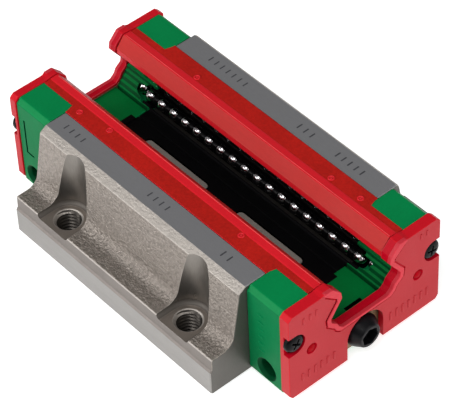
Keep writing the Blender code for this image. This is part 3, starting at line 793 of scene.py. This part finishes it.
# ----------------------------------------------------------------- end caps
def make_cap(tag, sx):
    half = [(0.0, 0.45), (20.2, 0.45, 0.5), (20.9, 1.2, 0.5), (20.9, 24.2, 0.4), (19.8, 25.38, 0.4),
            (13.12, 25.38, 0.15), (13.12, 23.95), (9.8, 23.95), (7.95, 22.1, 0.2), (7.75, 21.3, 0.2),
            (8.4, 20.3, 0.3), (10.4, 18.6, 0.3), (10.5, 17.3, 0.3), (10.25, 16.5, 0.15), (9.75, 16.25, 0.1),
            (9.65, 15.55, 0.15), (9.15, 15.2, 0.1), (8.95, 14.5, 0.15), (8.35, 14.1, 0.1),
            (8.0, 13.3, 0.15), (7.5, 13.0, 0.1), (7.1, 12.25, 0.15), (6.75, 12.1, 0.1),
            (6.55, 11.0, 0.08), (6.25, 11.0, 0.08), (6.15, 11.72, 0.1), (0.0, 11.72)]
    bm = bmesh.new()
    prism(bm, mirrored(half), sx * 32.66, 42.82 if sx > 0 else -43.25, "X", 0.12, 0.12, 2)
    bmesh.ops.recalc_face_normals(bm, faces=bm.faces[:])
    for f in bm.faces:
        c = f.calc_center_median()
        # rib risers and the groove under them take the darkest green: painted shade
        if 6.2 < abs(c.y) < 10.45 and 10.9 < c.z < 17.0 and abs(f.normal.x) < 0.5 and abs(f.normal.y) > 0.75 \
                or 6.2 < abs(c.y) < 6.6 and c.z < 11.1 and f.normal.z > 0.5:
            f.material_index = 3                         # risers of the ribs and the groove under them
        # faces inside the rail channel take the darker green: painted shade
        elif abs(c.y) < 11.5 and 10.5 < c.z < 23.9 and abs(f.normal.x) < 0.5:
            f.material_index = 1
        # side faces take the darker green: painted shade
        elif abs(f.normal.y) > 0.85 and abs(c.y) > 20.0:
            f.material_index = 2
    ob = build("cap_" + tag, bm, [M["green"], M["green_in_shade"], M["green_side_shade"], M["green_rib_shade"]], smooth=32)

    bm = bmesh.new()                                     # ball turns
    for loaded, back in CIRCUITS.values():
        for sy in (-1, 1):
            c = Circuit(loaded, back, sy)
            start = c.half if sx > 0 else 3 * c.half + math.pi * c.r
            lead = c.half - 32.66
            rings = [c.ring(start - lead - 0.8, 1.98, 20)]
            for i in range(19):
                rings.append(c.ring(start + math.pi * c.r * i / 18, 1.98, 20))
            rings.append(c.ring(start + math.pi * c.r + lead + 0.8, 1.98, 20))
            loft(bm, rings)
    boolean(ob, build("cut_turns", bm, [M["green"]]))

    bm = bmesh.new()                                     # seats of the row guides
    for y, z in ((9.35, 13.2), (9.0, 20.9)):
        for sy in (-1, 1):
            lathe(bm, [(32.0, 2.62), (35.3, 2.62), (35.7, 2.2)], (0, sy * y, z), (sx, 0, 0), 32)
    boolean(ob, build("cut_guides", bm, [M["green"]]))

    bm = bmesh.new()                                     # port, screw clearance, side ports
    lathe(bm, [(36.6, 0.8), (37.4, 2.6), (44.0, 2.6)], (0, 0, 6.0), (sx, 0, 0), 40)
    for sy in (-1, 1):
        lathe(bm, [(31.0, 1.5), (44.0, 1.5)], (0, sy * 19.1, 16.9), (sx, 0, 0), 24)
        lathe(bm, [(14.0, 0.8), (14.8, 2.3), (20.15, 2.3), (20.6, 2.6), (20.95, 3.0), (21.6, 3.6)],
              (38.05 if sx > 0 else -39.3, 0, 4.4) if sy < 0 else (39.3 if sx > 0 else -38.05, 0, 4.4), (0, sy, 0), 48)
    # bore walls take the dark bore green: painted shade inside the holes
    boolean(ob, build("cut_ports", bm, [M["green_bore_shade"]]))
    if sx > 0:                                           # slot in the floor behind the seal
        bm = bmesh.new()
        # slot walls take the black retainer material: painted shade in the slot
        box(bm, (41.3, -2.3, 10.6), (42.2, 2.3, 13.0))
        boolean(ob, build("cut_slot", bm, [M["black"]]))

    if sx < 0:                                           # engraved guide line on the side faces
        for sy in (-1, 1):
            run = [(sx * 41.2, 20.3), (sx * 41.2, 10.75), (sx * 38.8, 10.75)]
            bm = bmesh.new()
            prism(bm, offset_line(run, 0.26) + offset_line(run, -0.26)[::-1], sy * 20.4, sy * 21.3, "Y")
            # walls of the engraved line take the dark bore green: painted shade in the groove
            boolean(ob, build("cut_lines", bm, [M["green_bore_shade"]]))
    finish_piece(ob, replaces=("end_cap_" + tag,))

    if sx > 0:                                           # plain raised bars on the side faces
        bm = bmesh.new()
        for sy in (-1, 1):
            for i in range(6):
                z = 9.2 + 2.1 * i
                prism(bm, [(35.8, z - 0.22), (37.4, z - 0.22), (37.4, z + 0.22), (35.8, z + 0.22)], sy * 20.85, sy * 21.02, "Y", 0, 0.06, 2)
        ob = build("cap_bars_" + tag, bm, [M["green_side_shade"]], smooth=35)
        finish_piece(ob)

    # black row guides that lead the balls into the turns
    bm = bmesh.new()
    for y, z, a0, a1 in ((9.35, 13.2, -152, 62), (9.0, 20.9, -62, 128)):
        for sy in (-1, 1):
            outer = [(y + 2.55 * math.cos(math.radians(a)), z + 2.55 * math.sin(math.radians(a)))
                     for a in [a0 + (a1 - a0) * i / 20 for i in range(21)]]
            inner = [(y + 1.97 * math.cos(math.radians(a)), z + 1.97 * math.sin(math.radians(a)))
                     for a in [a1 + (a0 - a1) * i / 20 for i in range(21)]]
            prism(bm, flip(outer + inner, sy), sx * 32.7, sx * 35.25, "X", 0.08, 0.25, 3)
    ob = build("row_guides_" + tag, bm, [M["black"]], smooth=35)
    finish_piece(ob)


# -------------------------------------------------------------------- seals
OPENING = [(9.3, 26.0, 0.45), (6.98, 23.52, 0.5), (6.71, 21.79, 0.5), (9.8, 17.4, 0.5), (9.6, 16.2, 0.5),
           (8.05, 14.95, 0.4), (7.45, 13.7, 0.4), (6.3, 12.75, 0.5), (0.0, 12.7)]
GROOVE = [(11.0, 25.0), (8.1, 22.5), (7.95, 21.7), (10.85, 17.75), (10.6, 15.7),
          (8.8, 14.1), (8.2, 13.0), (7.1, 12.1), (0.0, 12.05)]


def opening_line(d, top):
    """The rail opening moved into the seal by d and cut off at the height top."""
    line = offset_line([(11.2, 28.0)] + [q[:2] for q in OPENING[1:]], d)
    (y0, z0), (y1, z1) = line[0], line[1]
    t = (top - z0) / (z1 - z0)
    line[0] = (y0 + (y1 - y0) * t, top)
    line[-1] = (0.0, 12.7 - d)
    return line


def make_seal(tag, sx):
    d = 0.0 if sx > 0 else 0.28                          # the rear cap reaches further under its seal
    start = 42.86 if sx > 0 else 43.29
    half = [(0.0, 1.2), (20.45, 1.2, 0.3), (21.25, 2.2, 0.3), (21.25, 24.7, 0.3), (20.2, 25.65, 0.3),
            (12.3, 25.65, 0.2), (11.2, 26.0, 0.3)] + OPENING
    bm = bmesh.new()
    prism(bm, mirrored(half), sx * start, sx * (45.55 - d), "X", 0.18, 0.16, 3)
    bmesh.ops.recalc_face_normals(bm, faces=bm.faces[:])
    for f in bm.faces:
        c, nrm = f.calc_center_median(), f.normal
        if abs(nrm.x) > 0.9 and abs(c.x) > 45.5 - d:
            f.material_index = 1
        # walls inside the rail opening take the crimson: painted shade
        elif abs(c.y) < 9.9 and 12.0 < c.z < 25.5 and abs(nrm.x) < 0.9:
            # the rounding at the sill's rear edge takes the lip red: a painted highlight line
            f.material_index = 4 if abs(c.x) < start + 0.16 else 2
        # side faces take the darker seal red: painted shade
        elif abs(nrm.y) > 0.85 and abs(c.y) > 20.0:
            f.material_index = 3
    ob = build("seal_" + tag, bm, [M["red_body"], M["red_matte"], M["red_recess_shade"], M["red_side_shade"], M["lip"]], smooth=32)

    bm = bmesh.new()                                     # port cut-out
    prism(bm, [(-5.1, -1.0), (5.1, -1.0)] + arc(0.0, 6.75, 5.1, 0, 180, 32), sx * 40.0, sx * 48.0)
    boolean(ob, build("cut_port", bm, [M["red_recess_shade"]]))
    bm = bmesh.new()                                     # rear pocket for the core plate
    prism(bm, mirrored([(0.0, 2.35), (20.4, 2.35), (20.4, 24.9)] + opening_line(0.6, 24.9)), sx * 41.0, sx * 44.06)
    boolean(ob, build("cut_pocket", bm, [M["red"]]))
    bm = bmesh.new()                                     # screw slots, open to the side
    for sy in (-1, 1):
        slot = [(24.0, 19.6)] + arc(19.45, 16.9, 2.7, 90, 270, 24) + [(24.0, 14.2)]
        prism(bm, flip(slot, sy), sx * 44.0, sx * 48.0)
    boolean(ob, build("cut_slots", bm, [M["red_recess_shade"]]))

    bm = bmesh.new()                                     # groove at the foot of the lip, and two dimples
    inner, outer = [tuple(q) for q in GROOVE], offset_line(GROOVE, 0.4)
    outer[-1] = (0.0, outer[-1][1])
    band = outer + [(-y, z) for y, z in reversed(outer[:-1])] + [(-y, z) for y, z in inner[:-1]] + list(reversed(inner))
    prism(bm, band, sx * (45.3 - d), sx * 46.2)
    for sy in (-1, 1):
        lathe(bm, [(44.85, 0.7), (44.95, 1.1), (45.25, 1.35), (45.6, 1.45), (46.2, 1.55)], (-sx * d, sy * 15.0, 12.65), (sx, 0, 0), 32)
    boolean(ob, build("cut_line", bm, [M["red_recess_shade"]]))
    finish_piece(ob, replaces=("end_seal_" + tag,))

    bm = bmesh.new()                                     # the lip round the rail opening
    edge = [(y - 0.03 if y > 1 else y, z + 0.02, r) for y, z, r in OPENING[:-1]]
    line = [(11.7, 25.6, 0.2), (11.3, 26.03, 0.2)] + edge
    outline = line + flip(line[::-1], -1) + flip(GROOVE[:-1], -1) + GROOVE[:-1][::-1]
    prism(bm, outline, sx * (44.9 - d), sx * (45.78 - d), "X", 0.0, 0.14, 3)
    ob = build("seal_lip_" + tag, bm, [M["lip"]], smooth=32)
    finish_piece(ob)

    bm = bmesh.new()
    # dimple domes take the dark dimple red: painted shade in the dimples
    for sy in (-1, 1):
        lathe(bm, [(44.8, 1.1), (45.2, 1.08), (45.42, 0.95), (45.56, 0.7), (45.62, 0.3)], (-sx * d, sy * 15.0, 12.65), (sx, 0, 0), 24, mat=1)
    # plain raised dashes in place of moulded lettering
    for sy, y0, z0, count, h in ((-1, 13.6, 22.4, 3, 0.8), (1, 15.7, 23.6, 2, 0.7), (-1, 8.9, 5.8, 6, 1.05), (1, 7.2, 5.7, 7, 1.15)):
        for i in range(count):
            y = y0 + i * 1.75
            prism(bm, flip([(y - 0.26, z0 - h), (y + 0.26, z0 - h), (y + 0.26, z0 + h), (y - 0.26, z0 + h)], sy),
                  sx * (45.5 - d), sx * (45.72 - d), "X", 0, 0.08, 2)
    ob = build("seal_details_" + tag, bm, [M["red_matte"], M["red_dimple_shade"]], smooth=35)
    finish_piece(ob)

    # core plate, seen through the port cut-out
    plate = [(0.0, 1.95), (4.8, 1.95), (4.8, 2.65), (20.1, 2.65), (20.1, 15.3)] + arc(19.1, 16.9, 1.6, -90, -270, 12)
    plate += [(20.1, 18.5), (20.1, 24.6)] + opening_line(0.9, 24.6)
    bm = bmesh.new()
    prism(bm, mirrored(plate), sx * (start + 0.08), 43.8 if sx > 0 else -43.95, "X", 0.06, 0.08, 1)
    ob = build("core_plate_" + tag, bm, [M["tan"]], smooth=32)
    bm = bmesh.new()
    lathe(bm, [(40.0, 2.75), (48.0, 2.75)], (0, 0, 6.0), (sx, 0, 0), 40)
    boolean(ob, build("cut_hole", bm, [M["tan"]]))
    finish_piece(ob, replaces=("seal_core_plate_" + tag,))


def make_strip(side, sy):
    """Longitudinal seal: textured flat, smooth band, sloping face and lip."""
    prof = [(15.55, 24.25), (15.55, 25.52, 0.05), (11.5, 25.52, 0.12), (11.2, 25.64, 0.12), (9.45, 25.74, 0.2),
            (7.2, 22.9, 0.25), (7.12, 21.5, 0.1), (7.4, 21.5, 0.08), (7.75, 22.4, 0.2), (9.6, 24.25)]
    bm = bmesh.new()
    prism(bm, flip(prof, sy), -43.1, 42.6, "X", 0.1, 0.1, 2)
    bmesh.ops.recalc_face_normals(bm, faces=bm.faces[:])
    for f in bm.faces:
        c, nrm = f.calc_center_median(), f.normal
        ay = abs(c.y)
        if nrm.z > 0.9 and ay > 11.4:
            k = 1
        elif nrm.z > 0.2 and ay < 9.4 and c.z < 25.5:
            k = 2
        else:
            k = 0
        f.material_index = k
    ob = build("strip_" + side, bm, [M["red"], M["red_dull"], M["red_slope"]], smooth=32)
    bm = bmesh.new()
    for sx in (-1, 1):
        # the narrow end begins with a slanted shoulder
        prism(bm, [(sx * 32.62, sy * 18.0), (sx * 32.62, sy * 15.0), (sx * 33.2, sy * 13.1), (sx * 50.0, sy * 13.1), (sx * 50.0, sy * 18.0)],
              22.0, 28.0, "Z")
    boolean(ob, build("cut_ends", bm, [M["red"]]))
    # small round moulding marks
    bm = bmesh.new()
    marks = [(-30.4, 13.4), (-21.5, 12.3), (21.3, 12.3)] if sy < 0 else [(-21.3, 12.3), (21.7, 12.5), (30.3, 12.9)]
    for x, y in marks:
        lathe(bm, [(25.3, 0.78), (25.55, 0.78), (25.68, 0.68), (25.68, 0.54), (25.54, 0.42), (25.5, 0.3), (25.64, 0.2), (25.66, 0.06)],
              (x, sy * y, 0), (0, 0, 1), 24)
    # the mould seam bead along the ridge is painted light pink: a painted highlight line
    prism(bm, flip([(9.62, 25.6), (9.76, 25.6), (9.74, 25.79), (9.64, 25.79)], sy), -42.4, 42.4, "X", mat=1)   # mould seam
    ob2 = build("strip_marks_" + side, bm, [M["red"], M["seam_highlight"]], smooth=35)
    finish_piece(ob, replaces=("bottom_seal_" + side,))
    finish_piece(ob2)


# ----------------------------------------------------------- inside pieces
def make_retainers():
    half = [(0.0, 9.8), (6.9, 9.8), (7.3, 10.4), (7.75, 11.6, 0.1), (7.35, 12.05, 0.1), (6.9, 11.62, 0.3),
            (4.25, 11.5), (4.1, 11.38), (3.95, 11.38), (3.8, 11.5), (0.0, 11.5)]
    bm = bmesh.new()
    prism(bm, mirrored(half), -32.5, 32.5, "X", 0.12, 0.12, 2)
    ob = build("retainer_floor", bm, [M["black"]], smooth=30)
    bm = bmesh.new()
    for sx in (-1, 1):
        prism(bm, [(sx * 4.9, -1.5, 1.2), (sx * 25.7, -1.5, 1.2), (sx * 25.7, 1.5, 1.2), (sx * 4.9, 1.5, 1.2)], 8.0, 13.0, "Z")
    boolean(ob, build("cut_windows", bm, [M["black"]]))
    finish_piece(ob, replaces=("centre_retainer",))
    # tongues over the caps' floor
    bm = bmesh.new()
    for sx in (-1, 1):
        prism(bm, [(-2.9, 11.3), (2.9, 11.3), (2.9, 11.86), (-2.9, 11.86)], sx * 32.3, sx * 33.9, "X", 0, 0.12, 2)
    ob = build("retainer_tongues", bm, [M["black"]], smooth=30)
    finish_piece(ob)

    for side, sy in (("left", 1), ("right", -1)):
        pts = [(11.95, 15.1), (11.95, 19.5), (11.3, 19.5, 0.2), (10.4, 18.9, 0.3), (10.4, 15.5, 0.3), (11.15, 14.95, 0.2)]
        bm = bmesh.new()
        prism(bm, flip(pts, sy), -32.5, 32.5, "X", 0.15, 0.15, 2)
        ob = build("side_retainer_" + side, bm, [M["black"]], smooth=30)
        finish_piece(ob, replaces=("mid_retainer_" + side,))


def make_plug(tag, sx):
    bm = bmesh.new()
    lathe(bm, [(37.8, 1.9), (38.3, 2.4), (44.0, 2.4), (44.0, 3.9), (44.1, 4.02), (44.5, 4.06), (44.75, 3.98),
               (45.5, 3.6), (46.5, 3.08), (46.85, 2.9), (47.02, 2.76), (47.08, 2.6), (47.06, 2.45)],
          (0, 0, 6.0), (sx, 0, 0), 64)
    ob = build("plug_" + tag, bm, [M["plug"]], smooth=40)
    bm = bmesh.new()
    r = 1.95 / math.cos(math.pi / 6)
    lathe(bm, [(44.6, 0.2), (45.0, r), (46.95, r), (47.2, r + 0.2), (47.6, r + 0.5)], (0, 0, 6.0), (sx, 0, 0), 6, phase=math.radians(12))
    boolean(ob, build("cut_hex", bm, [M["plug"]]))
    finish_piece(ob, replaces=("port_plug_" + tag,))


def make_screw(tag, side, sx, sy):
    c = (0, sy * 19.1, 16.9)
    bm = bmesh.new()
    lathe(bm, [(27.4, 0.7), (27.9, 1.15), (44.0, 1.15), (44.0, 2.25), (44.1, 2.36), (44.7, 2.4), (45.0, 2.32), (45.25, 2.1),
               (45.42, 1.75), (45.52, 1.2), (45.55, 0.4)], c, (sx, 0, 0), 48)
    ob = build("screw_%s_%s" % (tag, side), bm, [M["oxide"]], smooth=40)
    bm = bmesh.new()
    tilt = math.radians(20 + 17 * (sx + 1) + 11 * (sy + 1))
    for k in range(2):
        a = tilt + k * math.pi / 2
        u = Vector((0, math.cos(a), math.sin(a)))
        v = Vector((0, -math.sin(a), math.cos(a)))
        rings = []
        for x, l, w in ((44.3, 0.45, 0.16), (45.1, 1.2, 0.25), (46.2, 1.8, 0.38)):
            o = Vector((sx * x, sy * 19.1, 16.9))
            rings.append([tuple(o + u * p + v * q) for p, q in ((l, w), (-l, w), (-l, -w), (l, -w))])
        loft(bm, rings)
        boolean(ob, build("cut_cross", bm, [M["oxide"]]))
        bm = bmesh.new()
    bm.free()
    finish_piece(ob, replaces=("end_screw_%s_%s" % (tag, side),))


def make_tubes():
    for depth, (loaded, back) in CIRCUITS.items():
        for side, sy in (("left", 1), ("right", -1)):
            key = depth + "_" + side
            bm = bmesh.new()
            n = 32
            y, z = sy * back[0], back[1]
            rings = []
            for x, r in ((-32.3, 2.0), (-32.4, 2.1), (-32.4, 2.25), (-32.3, 2.33), (32.3, 2.33), (32.4, 2.25), (32.4, 2.1), (32.3, 2.0)):
                rings.append([bm.verts.new((x, y + r * math.cos(2 * math.pi * i / n), z + r * math.sin(2 * math.pi * i / n)))
                              for i in range(n)])
            for a, b in zip(rings, rings[1:] + rings[:1]):
                for i in range(n):
                    j = (i + 1) % n
                    bm.faces.new((a[i], a[j], b[j], b[i]))
            ob = build("tube_" + key, bm, [M["tube"]], smooth=40)
            finish_piece(ob, replaces=("return_tube_" + key,))


add_camera()
add_stage()
make_block()
make_marks()
make_balls()
for tag, sx in (("front", 1), ("rear", -1)):
    make_cap(tag, sx)
    make_seal(tag, sx)
    make_plug(tag, sx)
    for side, sy in (("left", 1), ("right", -1)):
        make_screw(tag, side, sx, sy)
for side, sy in (("left", 1), ("right", -1)):
    make_strip(side, sy)
make_retainers()
make_tubes()
